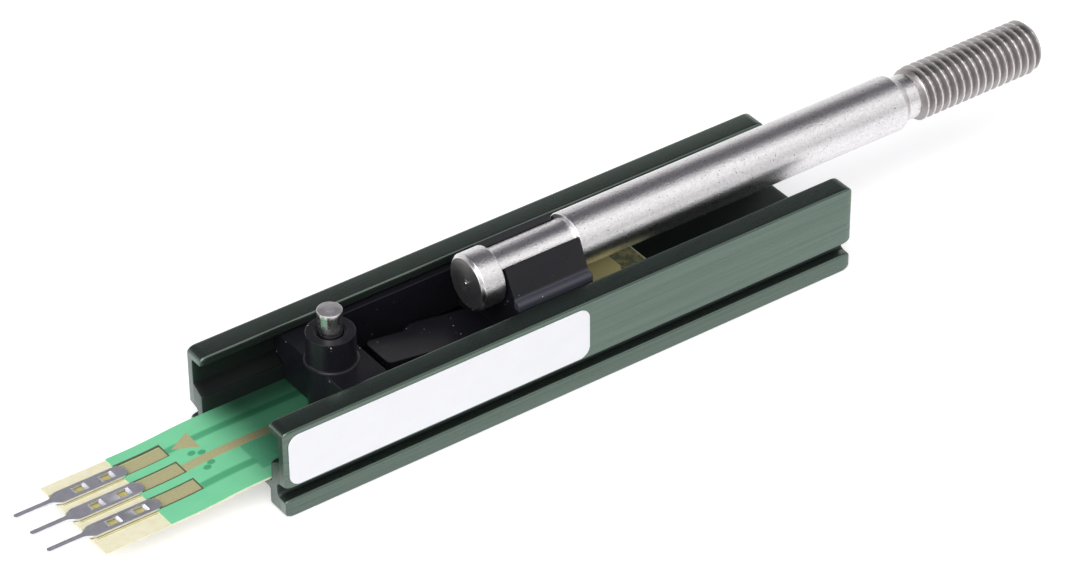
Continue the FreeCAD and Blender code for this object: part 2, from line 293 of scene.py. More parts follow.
@dataclass(frozen=True)
class AnodisedAluminium:
    """Dark green anodising over drawn aluminium, with sawn ends."""

    left: float
    right: float
    half_width: float
    height: float
    lip_side: float = 4.95
    guide_top: float = 7.5
    guide_side: float = 6.3
    slope_heights: tuple[float, float] = (4.55, 5.35)
    foot_shade: tuple[float, float] = (2.0, 2.6)
    sawn_shade: tuple[float, float] = (2.0, 6.0)
    lit_rear_wall: tuple[float, float] = (4.0, 6.0)
    edge_reach: float = 0.22
    deep: Colour = paint(91, 106, 97)
    pale: Colour = paint(106, 121, 112)
    # top and lit_rear_top: painted light on the top faces, darker over the front rail and lighter over the
    # rear one
    top: Colour = paint(80, 93, 85)
    lit_rear_top: Colour = paint(98, 109, 101)
    # inner and slope: painted shade inside the channel and at the foot, darkest on the guide slope
    inner: Colour = paint(56, 64, 61)
    slope: Colour = paint(22, 25, 25)
    sawn: Colour = paint(142, 152, 150)
    # Painted shade on the upper part of the sawn ends.
    sawn_top_shade: Colour = paint(62, 72, 66)
    speck: Colour = paint(190, 205, 195)

    def material(self) -> bpy.types.Material:
        """Long drawing lines tint and tilt the surface; the corners of the section hold bright specks.

        Painted light and shade: the top is darker over the front rail and lighter over the rear one, and
        the foot, the channel's inner faces and the upper sawn ends are darkened, less so on the rear wall's
        end.

        Returns:
            The material.
        """
        g = new_graph("anodised_green")
        x, y, z = g.millimetres()
        wander = g.noise(g.vector(x * 0.09, y * 0.3, z * 0.3), detail=2.0) * 0.25
        lines = g.noise(g.vector(x * 0.03, y * 3.6 + wander, z * 3.6 + wander), detail=5.0, rough=0.65)
        hairs = g.noise(g.vector(x * 0.16, y * 14.0, z * 14.0), detail=3.0, rough=0.7)
        cloud = g.noise(g.vector(x * 0.35, y * 0.9, z * 0.9), detail=3.0)
        tone = lines.rise(0.32, 0.68) * 0.62 + hairs.rise(0.3, 0.7) * 0.25 + cloud * 0.2
        colour = g.mix(tone, self.deep, self.pale)
        # Painted light: the top is darker over the front rail and lighter over the rear one than the sides
        # are.
        lid = g.mix(y.rise(-1.0, 1.0), self.top, self.lit_rear_top)
        colour = g.mix(z.rise(self.height - 0.25, self.height - 0.1) * 0.85, colour, lid)
        # Painted shade: the foot darkens towards the floor.
        colour = g.mix((1 - z.rise(*self.foot_shade)) * 0.22, colour, self.inner)
        # Painted shade inside the channel: its inner faces, the lip's inner face and, darkest, the guide
        # slope.
        inside = 1 - y.size().rise(self.guide_side, self.guide_side + 0.05)
        inside = inside * (1 - z.rise(self.guide_top, self.guide_top + 0.1))
        lip = (1 - y.size().rise(self.lip_side, self.lip_side + 0.1)) * 0.85
        inside = inside.larger(lip * (1 - z.rise(self.height - 0.35, self.height - 0.2)))
        inner = g.mix(g.within(z, *self.slope_heights, 0.05), self.inner, self.slope)
        colour = g.mix(inside, colour, inner)
        ends = 1 - g.within(x, self.left + 0.02, self.right - 0.02, 0.01)
        grit = g.noise(g.vector(x * 3.0, y * 7.0, z * 7.0), detail=3.0)
        # Painted shade darkens the upper sawn ends; the rear wall's end gets less of it, which leaves a
        # painted highlight there.
        shaded = z.rise(*self.sawn_shade) * (1 - y.rise(*self.lit_rear_wall) * 0.8)
        cut = g.mix(shaded, self.sawn, self.sawn_top_shade)
        colour = g.mix(ends * (grit * 0.5 + 0.5), colour, cut)
        outer = y.size().rise(self.half_width - self.edge_reach, self.half_width - 0.02)
        upper = z.rise(self.height - self.edge_reach, self.height - 0.02)
        chips = g.noise(g.vector(x * 2.3, y * 6.0, z * 6.0), detail=4.0, rough=0.7).rise(0.66, 0.72)
        colour = g.mix(outer * upper * chips, colour, self.speck)
        relief = lines * 0.003 + hairs * 0.0008 + ends * grit * 0.02
        return g.surface({
            "Base Color": colour,
            "Metallic": 0.92 - inside * 0.08,
            "Roughness": 0.22 + hairs * 0.06 + cloud * 0.06 + ends * 0.15 + inside * 0.2,
            "Normal": g.bump(relief),
        })


@dataclass(frozen=True)
class GroundSteel:
    """Steel bar with a fine granular surface and a few dark pits."""

    name: str = "ground_steel"
    bright: Colour = paint(240, 237, 237)
    dull: Colour = paint(204, 201, 204)
    pit: Colour = paint(96, 93, 94)
    grain_height: float = 0.029
    shine: float = 0.18

    def material(self) -> bpy.types.Material:
        """Two sizes of grain tilt the surface, flecks shade it, and the peaks of one noise are dark pits.

        Returns:
            The material.
        """
        g = new_graph(self.name)
        x, y, z = g.millimetres()
        grain = g.noise(g.vector(x * 5.5, y * 5.5, z * 5.5), detail=3.0, rough=0.65)
        drawn = g.noise(g.vector(x * 0.35, y * 3.2, z * 3.2), detail=3.0)
        pits = g.noise(g.vector(x * 5.6 + 31, y * 5.6, z * 5.6), detail=2.0, rough=0.7).rise(0.645, 0.71)
        fleck = g.noise(g.vector(x * 3.6, y * 4.5, z * 4.5 + 5), detail=3.0, rough=0.8)
        colour = g.mix(fleck.rise(0.3, 0.7) * 0.55 + drawn * 0.45, self.bright, self.dull)
        colour = g.mix(pits, colour, self.pit)
        return g.surface({
            "Base Color": colour,
            "Metallic": 1.0,
            "Roughness": grain * 0.16 + drawn * 0.08 + pits * 0.2 + self.shine,
            "Normal": g.bump(grain * self.grain_height + drawn * 0.004 - pits * 0.006),
        })


@dataclass(frozen=True)
class TurnedSteel:
    """Steel as the lathe leaves it, with rings round its axis."""

    name: str
    upright: bool
    centre: tuple[float, float]
    bright: Colour = paint(232, 229, 229)
    dull: Colour = paint(196, 193, 194)
    ring_height: float = 0.0055
    face_height: float = 0.0055
    face_at: float = 0.0
    shine: float = 0.2
    crest_radius: float = 0.0
    crest_depth: float = 0.09
    groove: Colour = paint(169, 164, 163)

    def material(self) -> bpy.types.Material:
        """Rings are noise over the distance from the axis and along it, deeper on the end face.

        Below the crest radius of a thread the steel is darker.

        Returns:
            The material.
        """
        g = new_graph(self.name)
        x, y, z = g.millimetres()
        along, across, over = (z, x, y) if self.upright else (x, y, z)
        across = across - self.centre[0]
        over = over - self.centre[1]
        radius = (across * across + over * over).power(0.5)
        rings = g.noise(g.vector(radius * 9.0, along * 7.0, 0.0), detail=3.0, rough=0.7)
        face = 1 - (along - self.face_at).size().rise(0.02, 0.05)
        smear = g.noise(g.vector(x * 2.2, y * 2.2, z * 2.2), detail=3.0)
        depth = face * (self.face_height - self.ring_height) + self.ring_height
        colour = g.mix(rings.rise(0.35, 0.65) * 0.6 + smear * 0.4, self.bright, self.dull)
        if self.crest_radius > 0:
            crest = radius.rise(self.crest_radius - self.crest_depth, self.crest_radius)
            colour = g.mix(crest, self.groove, colour)
        return g.surface({
            "Base Color": colour,
            "Metallic": 1.0,
            "Roughness": smear * 0.1 + face * 0.06 + self.shine,
            "Normal": g.bump(rings * depth + smear * 0.0015),
        })


@dataclass(frozen=True)
class BlackMoulding:
    """Black moulded plastic with a fine grain, soft sheen and a little dust."""

    clip_from: float
    bead_across: tuple[float, float] = (3.4, 4.2)
    bead_heights: tuple[float, float] = (7.7, 8.7)
    jaw_across: tuple[float, float] = (1.0, 1.66)
    jaw_heights: tuple[float, float] = (9.6, 10.9)
    base: Colour = paint(19, 19, 24)
    worn: Colour = paint(31, 31, 38)
    # Painted highlight along the clip's bead.
    painted_bead_highlight: Colour = paint(75, 75, 85)
    # Painted shadow inside the clip's jaws.
    deep: Colour = paint(8, 8, 9)
    dust: Colour = paint(170, 168, 170)

    def material(self) -> bpy.types.Material:
        """A cloudy sheen over fine grain, with a painted grey highlight on the beads and deep black painted
        shadow inside the jaws.

        The highest peaks of one noise are specks of dust.

        Returns:
            The material.
        """
        g = new_graph("black_moulding")
        x, y, z = g.millimetres()
        cloud = g.noise(g.vector(x * 0.5, y * 0.7, z * 0.7), detail=4.0)
        grain = g.noise(g.vector(x * 9.0, y * 9.0, z * 9.0), detail=2.0)
        scuffs = g.noise(g.vector(x * 1.1, y * 5.0, z * 5.0), detail=4.0, rough=0.7).rise(0.6, 0.75)
        dust = g.noise(g.vector(x * 2.7, y * 2.7 + 9, z * 2.7), detail=1.0).rise(0.765, 0.79)
        colour = g.mix(cloud * 0.5 + scuffs * 0.5, self.base, self.worn)
        clip = x.rise(self.clip_from, self.clip_from + 0.05)
        bead = g.within(y.size(), *self.bead_across, 0.2) * g.within(z, *self.bead_heights, 0.2) * clip
        # Painted highlight: the bead is painted grey.
        colour = g.mix(bead * 0.7, colour, self.painted_bead_highlight)
        # Painted shadow: deep black inside the clip's jaws.
        jaw_shadow = g.within(y.size(), *self.jaw_across, 0.1) * g.within(z, *self.jaw_heights, 0.08) * clip
        colour = g.mix(jaw_shadow, colour, self.deep)
        return g.surface({
            "Base Color": g.mix(dust, colour, self.dust),
            "Roughness": cloud * 0.16 + scuffs * 0.14 + dust * 0.3 + jaw_shadow * 0.5 + 0.22,
            "Normal": g.bump(grain * 0.0024 + scuffs * 0.0006 + cloud * 0.01),
            "Specular IOR Level": 0.28,
        })


@dataclass(frozen=True)
class Patch:
    """A rectangle of print on the film, from the housing's left end and the middle, in millimetres."""

    x_from: float
    x_to: float
    y_from: float
    y_to: float

    def mask(self, g: Graph, x: Signal, y: Signal, soft: float = 0.05) -> Signal:
        """One on the patch, with soft edges."""
        return g.within(x, self.x_from, self.x_to, soft) * g.within(y, self.y_from, self.y_to, soft)

    def grown(self, by: float) -> "Patch":
        """The patch with a border of the given width."""
        return Patch(self.x_from - by, self.x_to + by, self.y_from - by, self.y_to + by)


def triangle_mask(x: Signal, y: Signal, corners: Sequence[tuple[float, float]], soft: float) -> Signal:
    """One inside a triangle: the product of a soft step over the line through each side.

    Args:
        x, y: the place on the film.
        corners: the corners, anticlockwise.
        soft: the width of the soft edge.

    Returns:
        The mask.
    """
    mask = None
    for (x0, y0), (x1, y1) in zip(corners, (*corners[1:], corners[0])):
        length = math.hypot(x1 - x0, y1 - y0)
        across, up = (y0 - y1) / length, (x1 - x0) / length
        side = (x * across + y * up - (x0 * across + y0 * up)).rise(-soft / 2, soft / 2)
        mask = side if mask is None else mask * side
    return mask


@dataclass(frozen=True)
class PrintedFilm:
    """The layout and inks that the sensor's films share."""

    origin: float
    covered_to: float = -9.2
    cream: Colour = paint(240, 235, 206)
    tan: Colour = paint(182, 176, 134)
    tan_dark: Colour = paint(164, 157, 118)
    outline: Colour = paint(92, 92, 70)
    mint: Colour = paint(140, 218, 172)
    grey: Colour = paint(118, 124, 100)
    blotch: Colour = paint(176, 172, 128)
    pads: tuple[Patch, ...] = (
        Patch(-15.2, -5.0, 2.28, 3.80),
        Patch(-15.2, -5.0, -0.29, 1.16),
        Patch(-15.2, -5.0, -2.85, -1.39),
    )

    def place(self, g: Graph) -> tuple[Signal, Signal, Signal]:
        """The point in millimetres, with x from the housing's left end."""
        x, y, z = g.millimetres()
        return x - self.origin, y, z

    def mottling(self, g: Graph, x: Signal, y: Signal) -> Signal:
        """Pale blotches on grey, as on the sensor's right end."""
        blotch = g.noise(g.vector(x * 1.7, y * 1.7, 7.0), detail=4.0, rough=0.7).rise(0.42, 0.6)
        return g.mix(blotch, self.grey, self.blotch)


@dataclass(frozen=True)
class BaseFilm(PrintedFilm):
    """Bare cream film with gold-edged contact pads, and a mottled stretch at its right end."""

    bare_from: float = -14.75
    stripes: tuple[tuple[float, float], ...] = ((0.0, 0.13), (0.24, 0.33))
    mottled_from: float = 38.6
    end_line: float = 0.18
    reach: float = 41.45
    straw: Colour = paint(224, 217, 172)
    gold: Colour = paint(196, 186, 104)

    def material(self) -> bpy.types.Material:
        """Each pad is tan inside a dark line, with two gold stripes before it where a contact covers it.

        Returns:
            The material.
        """
        g = new_graph("base_film")
        x, y, _ = self.place(g)
        cloud = g.noise(g.vector(x * 1.4, y * 1.4, 0.0), detail=4.0)
        speckle = g.noise(g.vector(x * 7.0, y * 7.0, 3.0), detail=2.0)
        colour = g.mix(cloud.rise(0.35, 0.75) * 0.5, self.cream, self.straw)
        tan = g.mix(speckle.rise(0.4, 0.7) * 0.6, self.tan, self.tan_dark)
        covered = 1 - x.rise(self.covered_to - 0.1, self.covered_to + 0.1)
        for pad in self.pads:
            front = pad.y_from
            for near, far in self.stripes:
                stripe = Patch(self.bare_from, pad.x_to, front - far, front - near)
                colour = g.mix(stripe.mask(g, x, y, 0.04) * covered, colour, self.gold)
            colour = g.mix(pad.grown(0.07).mask(g, x, y, 0.04) * (1 - covered), colour, self.outline)
            ink = g.mix(covered * 0.5, tan, self.gold)
            colour = g.mix(pad.mask(g, x, y, 0.04), colour, ink)
        end = x.rise(self.reach - self.end_line, self.reach - 0.02)
        mottled = g.mix(end, self.mottling(g, x, y), self.cream)
        colour = g.mix(x.rise(self.mottled_from, self.mottled_from + 0.1), colour, mottled)
        return g.surface({
            "Base Color": colour,
            "Roughness": speckle * 0.15 + 0.3,
            "Normal": g.bump(cloud * 0.012 + speckle * 0.001),
        })


@dataclass(frozen=True)
class CoverFilm(PrintedFilm):
    """Green covering film: traces show through it, and a bare tan trace and arrow lie on it."""

    traces: tuple[Patch, ...] = (
        Patch(-5.1, 8.5, 2.4, 3.1),
        Patch(-4.9, 0.2, -2.95, -2.2),
    )
    dark_patch: Patch = Patch(0.05, 8.5, -3.8, -0.25)
    tan_trace: Patch = Patch(-4.95, 9.0, -0.33, 0.57)
    arrow: tuple[tuple[float, float], ...] = ((-4.47, 2.70), (-2.50, 1.53), (-2.41, 3.74))
    vias: tuple[tuple[float, float], ...] = ((-3.45, 1.27), (-2.74, 0.87), (-2.78, -0.61), (-3.35, -0.98))
    via_radius: float = 0.27
    # Painted shade: a black band on the film under the carriage's travel.
    shade_band: Patch = Patch(8.9, 31.4, -6.0, 6.0)
    amber_field: Patch = Patch(31.9, 60.0, -4.4, 4.4)
    amber_border: float = 0.14
    arc_centre: tuple[float, float] = (41.6, -0.6)
    arc_radius: float = 3.1
    arc_line: float = 0.22
    housed_from: tuple[float, float] = (-2.0, 3.4)
    wall_shade_from: tuple[float, float] = (-1.0, 3.0)
    wall_shade_across: tuple[float, float] = (1.5, 4.6)
    green: Colour = paint(104, 200, 148)
    under: Colour = paint(66, 156, 110)
    patch: Colour = paint(84, 168, 128)
    shade: Colour = paint(122, 130, 130)
    # Colour of the painted shade under the carriage.
    carriage_shade: Colour = paint(30, 31, 32)
    amber: Colour = paint(248, 236, 166)

    def material(self) -> bpy.types.Material:
        """Ink over ink: green, the traces below it and tan print, then a black band of painted shade under
        the carriage, and the amber field.

        The film is bright outside the housing and shaded inside it, most beside the far wall.

        Returns:
            The material.
        """
        g = new_graph("cover_film")
        x, y, _ = self.place(g)
        cloud = g.noise(g.vector(x * 0.5, y * 0.7, 0.0), detail=3.0)
        speckle = g.noise(g.vector(x * 6.0, y * 6.0, 3.0), detail=3.0, rough=0.7)
        colour = g.mix(cloud * 0.5 + speckle * 0.2 + 0.15, self.mint, self.green)
        upper, lower = (trace.mask(g, x, y, 0.3) for trace in self.traces)
        colour = g.mix(upper.larger(lower) * 0.75, colour, self.under)
        granular = self.dark_patch.mask(g, x, y, 0.3) * (speckle.rise(0.35, 0.65) * 0.3 + 0.6)
        colour = g.mix(granular, colour, self.patch)
        for centre_x, centre_y in self.vias:
            across, up = x - centre_x, y - centre_y
            gap = (across * across * 0.7 + up * up).power(0.5)
            via = 1 - gap.rise(self.via_radius * 0.8, self.via_radius * 1.3)
            colour = g.mix(via * 0.85, colour, self.under)
        tan = g.mix(speckle.rise(0.35, 0.7) * 0.6, self.tan, self.tan_dark)
        printed = self.tan_trace.mask(g, x, y).larger(triangle_mask(x, y, self.arrow, 0.06))
        colour = g.mix(printed, colour, tan)
        for pad in self.pads:
            shown = x.rise(self.covered_to - 0.05, self.covered_to + 0.05)
            rim = pad.grown(0.10).mask(g, x, y, 0.05) * shown
            colour = g.mix(rim, colour, self.outline)
        # Painted shade: the film under the carriage is painted black.
        colour = g.mix(self.shade_band.mask(g, x, y, 0.1), colour, self.carriage_shade)
        amber = g.mix(speckle.rise(0.3, 0.7) * 0.2, self.amber, self.tan)
        border = self.amber_field.grown(self.amber_border)
        colour = g.mix(border.mask(g, x, y), colour, self.outline)
        colour = g.mix(self.amber_field.mask(g, x, y), colour, amber)
        across, up = x - self.arc_centre[0], y - self.arc_centre[1]
        gap = (across * across + up * up).power(0.5)
        colour = g.mix(1 - gap.rise(self.arc_radius, self.arc_radius + 0.25), colour, self.outline)
        inside = 1 - gap.rise(self.arc_radius - self.arc_line, self.arc_radius - self.arc_line + 0.12)
        colour = g.mix(inside, colour, self.mottling(g, x, y))
        lit_from = self.amber_field.x_from
        housed = x.rise(*self.housed_from) * (1 - x.rise(lit_from - 1, lit_from))
        walled = y.rise(*self.wall_shade_across) * x.rise(*self.wall_shade_from) * 0.9
        colour = g.mix(housed, colour, self.shade, "MULTIPLY")
        colour = g.mix(walled, colour, self.shade, "MULTIPLY")
        return g.surface({
            "Base Color": colour,
            "Roughness": speckle * 0.12 + 0.26,
            "Normal": g.bump(cloud * 0.03 + speckle * 0.0015 + printed * 0.004),
            "Specular IOR Level": 0.45,
        })


@dataclass(frozen=True)
class BondingFilm(PrintedFilm):
    """The clear spacer, of which only the cut edges show."""

    def material(self) -> bpy.types.Material:
        """Pale adhesive with a faint cloudiness.

        Returns:
            The material.
        """
        g = new_graph("bonding_film")
        x, y, z = self.place(g)
        cloud = g.noise(g.vector(x * 2.0, y * 2.0, z * 2.0), detail=3.0)
        return g.surface({
            "Base Color": g.mix(cloud, self.cream, self.mint),
            "Roughness": cloud * 0.2 + 0.3,
            "Normal": g.bump(cloud * 0.004),
        })


@dataclass(frozen=True)
class TinnedSheet:
    """Tinned spring sheet, dull grey with brighter worn spots."""

    origin: float
    bright: Colour = paint(240, 240, 246)
    dull: Colour = paint(212, 212, 222)
    tab_ends: tuple[float, ...] = (-12.21, -9.76)
    rows: tuple[float, ...] = (-2.29, 0.25, 2.79)
    tab_reach: float = 0.26
    tab_half_width: float = 0.42
    tab_slope: float = 0.74

    def material(self) -> bpy.types.Material:
        """Fine grain with cloudy tin over it; a ramp curls the tab at each window's far end.

        Returns:
            The material.
        """
        g = new_graph("tinned_sheet")
        x, y, z = g.millimetres()
        x = x - self.origin
        tabs = None
        for end in self.tab_ends:
            for row in self.rows:
                near, far = row - self.tab_half_width, row + self.tab_half_width
                tab = Patch(end - self.tab_reach, end + 0.02, near, far).mask(g, x, y, 0.02)
                ramp = tab * (x + y - (end + row)) * self.tab_slope
                tabs = ramp if tabs is None else tabs + ramp
        grain = g.noise(g.vector(x * 4.0, y * 12.0, z * 12.0), detail=3.0, rough=0.7)
        cloud = g.noise(g.vector(x * 1.6, y * 1.6, z * 1.6), detail=3.0)
        return g.surface({
            "Base Color": g.mix(grain * 0.6 + cloud.rise(0.3, 0.7) * 0.4, self.bright, self.dull),
            "Metallic": 0.95,
            "Roughness": grain * 0.15 + 0.3,
            "Normal": g.bump(grain * 0.004 + cloud * 0.006 + tabs),
        })


@dataclass(frozen=True)
class LabelStock:
    """White satin label with a fine tooth."""

    face: Colour = paint(240, 240, 243)
    shade: Colour = paint(229, 229, 234)

    def material(self) -> bpy.types.Material:
        """Two scales of soft noise shade the white a little.

        Returns:
            The material.
        """
        g = new_graph("label_stock")
        x, y, z = g.millimetres()
        tooth = g.noise(g.vector(x * 7.0, y * 7.0, z * 7.0), detail=3.0)
        cloud = g.noise(g.vector(x * 0.4, y, z * 0.6), detail=2.0)
        return g.surface({
            "Base Color": g.mix(tooth * 0.4 + cloud * 0.6, self.face, self.shade),
            "Roughness": tooth * 0.15 + 0.36,
            "Normal": g.bump(tooth * 0.002 + cloud * 0.012),
            "Coat Weight": 0.15,
        })


class Axis(Enum):
    """Directions of a turned piece: along its axis, then the two across it."""

    ROD = ((1.0, 0.0, 0.0), (0.0, 1.0, 0.0), (0.0, 0.0, 1.0))
    PIN = ((0.0, 0.0, 1.0), (1.0, 0.0, 0.0), (0.0, 1.0, 0.0))


def sheet_faces(rows: int, columns: int, close_rows: bool) -> np.ndarray:
    """Four-sided faces of a grid whose columns run round and close.

    Args:
        rows, columns: the grid's size.
        close_rows: whether the last row also joins the first.

    Returns:
        An array of four vertex numbers for each face, row by row.
    """
    row = np.arange(rows if close_rows else rows - 1)[:, None]
    column = np.arange(columns)[None, :]
    after = (column + 1) % columns
    low, high = row * columns, ((row + 1) % rows) * columns
    return np.stack([low + column, low + after, high + after, high + column], axis=-1).reshape(-1, 4)


def capped_faces(rows: int, columns: int) -> list[list[int]]:
    """Faces of a closed tube: the sheet between its rows, then a fan round a middle point at each end.

    The first and last row's middle points come after all the rows' points.

    Args:
        rows, columns: the grid's size.

    Returns:
        The vertex numbers of each face.
    """
    column = np.arange(columns)
    after = (column + 1) % columns
    count, last = rows * columns, (rows - 1) * columns
    first_fan = np.stack([np.full(columns, count), after, column], axis=-1)
    last_fan = np.stack([np.full(columns, count + 1), last + column, last + after], axis=-1)
    return sheet_faces(rows, columns, False).tolist() + first_fan.tolist() + last_fan.tolist()


def put_object(name: str, points: np.ndarray, faces: list[list[int]]) -> bpy.types.Object:
    """Put points and faces into a new smooth-shaded object.

    Args:
        name: the piece's name.
        points: the vertices in metres, one row each.
        faces: vertex numbers of each face, anticlockwise from outside.

    Returns:
        The object.
    """
    mesh = bpy.data.meshes.new(name)
    mesh.from_pydata(points.tolist(), [], faces)
    mesh.validate()
    mesh.polygons.foreach_set("use_smooth", np.ones(len(mesh.polygons), dtype=bool))
    mesh.set_sharp_from_angle(angle=SHARP_BEND)
    made = bpy.data.objects.new(name, mesh)
    bpy.context.scene.collection.objects.link(made)
    return made


def turned_piece(
    name: str, along: np.ndarray, radius: np.ndarray, centre: Vector, axis: Axis
) -> bpy.types.Object:
    """A closed turned piece: centre + along * axis + radius * (cos a, sin a) across it.

    Args:
        name: the piece's name.
        along: the place of each row along the axis, in metres.
        radius: the radius of each row at each angle, in metres.
        centre: the point on the axis from which rows are measured.
        axis: the directions of the piece.

    Returns:
        The object, with both ends closed at a middle point.
    """
    rows, columns = radius.shape
    ahead, across, over = (np.array(direction) for direction in axis.value)
    angle = np.linspace(0, 2 * math.pi, columns, endpoint=False)
    spoke = np.cos(angle)[:, None] * across + np.sin(angle)[:, None] * over
    rings = np.array(centre) + along[:, None, None] * ahead + radius[:, :, None] * spoke[None]
    middles = np.array(centre) + np.array([along[0], along[-1]])[:, None] * ahead
    points = np.vstack([rings.reshape(-1, 3), middles])
    return put_object(name, points, capped_faces(rows, columns))


def corner_curve(start: np.ndarray, corner: np.ndarray, end: np.ndarray, t: np.ndarray) -> np.ndarray:
    """The curve (1 - t)^2 A + 2 t (1 - t) C + t^2 B, from A to B round the corner C."""
    return (1 - t) ** 2 * start + 2 * t * (1 - t) * corner + t ** 2 * end


def rounded_profile(corners: Sequence[tuple[float, float, float]], steps: int = 4) -> np.ndarray:
    """A profile with its corners rounded by quadratic curves.

    Each curve's ends lie on the corner's sides, at the given distance from the corner.

    Args:
        corners: along, radius and rounding distance of each corner.
        steps: how many parts each curve has.

    Returns:
        The points as rows of along and radius.
    """
    points = np.array([corner[:2] for corner in corners])
    rounded = [points[:1]]
    t = np.linspace(0, 1, steps + 1)[:, None]
    for before, corner, after, (_, _, reach) in zip(points, points[1:], points[2:], corners[1:]):
        if reach == 0:
            rounded.append(corner[None])
            continue
        start = corner + (before - corner) * (reach / np.linalg.norm(before - corner))
        end = corner + (after - corner) * (reach / np.linalg.norm(after - corner))
        rounded.append(corner_curve(start, corner, end, t))
    rounded.append(points[-1:])
    return np.vstack(rounded)


def dress(piece: bpy.types.Object, *materials: bpy.types.Material) -> None:
    """Give a piece its materials.

    Args:
        piece: the piece.
        materials: its materials, in the order of its slots.
    """
    piece.data.materials.clear()
    for material in materials:
        piece.data.materials.append(material)


def softened_copy(node: str, edge: float, sharper_than: float = 40, steps: int = 2) -> bpy.types.Object:
    """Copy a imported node's mesh, merge it and round its edges.

    Args:
        node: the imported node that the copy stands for.
        edge: how far the rounding reaches on each side of an edge, in millimetres.
        sharper_than: edges that bend more than this many degrees are rounded.
        steps: how many parts each rounding has.

    Returns:
        The new object, which takes the node's place.
    """
    mesh = frame["nodes"][node].data.copy()
    mesh.name = node + "_soft"
    shape = bmesh.new()
    shape.from_mesh(mesh)
    bmesh.ops.remove_doubles(shape, verts=shape.verts, dist=MERGE_GAP)
    bmesh.ops.dissolve_limit(shape, angle_limit=FLAT_BEND, verts=shape.verts, edges=shape.edges)
    bmesh.ops.recalc_face_normals(shape, faces=shape.faces)
    shape.to_mesh(mesh)
    shape.free()
    mesh.polygons.foreach_set("use_smooth", np.ones(len(mesh.polygons), dtype=bool))
    mesh.set_sharp_from_angle(angle=math.radians(sharper_than))
    made = bpy.data.objects.new(node + "_soft", mesh)
    bpy.context.scene.collection.objects.link(made)
    rounding = made.modifiers.new("edges", "BEVEL")
    rounding.width = edge * MM
    rounding.segments = steps
    rounding.limit_method = "ANGLE"
    rounding.angle_limit = math.radians(sharper_than)
    rounding.harden_normals = True
    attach(made, frame["nodes"][node]["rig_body"])
    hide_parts(node)
    return made


def report(piece: bpy.types.Object, words: str) -> None:
    """Log one finished piece."""
    log.info("%-18s %s", piece.name, words)


@dataclass(frozen=True)
class Softbox:
    """A rectangular lamp that faces the object: its place and two sides in metres, its power in watts."""

    name: str
    place: tuple[float, float, float]
    size: tuple[float, float]
    power: float

    def build(self) -> None:
        """Hang the lamp, turned so that it shines on the origin."""
        data = bpy.data.lights.new(self.name, "AREA")
        data.shape = "RECTANGLE"
        data.size, data.size_y = self.size
        data.energy = self.power
        lamp = bpy.data.objects.new(self.name, data)
        bpy.context.scene.collection.objects.link(lamp)
        lamp.location = self.place
        lamp.rotation_euler = Vector(self.place).to_track_quat("Z", "Y").to_euler()


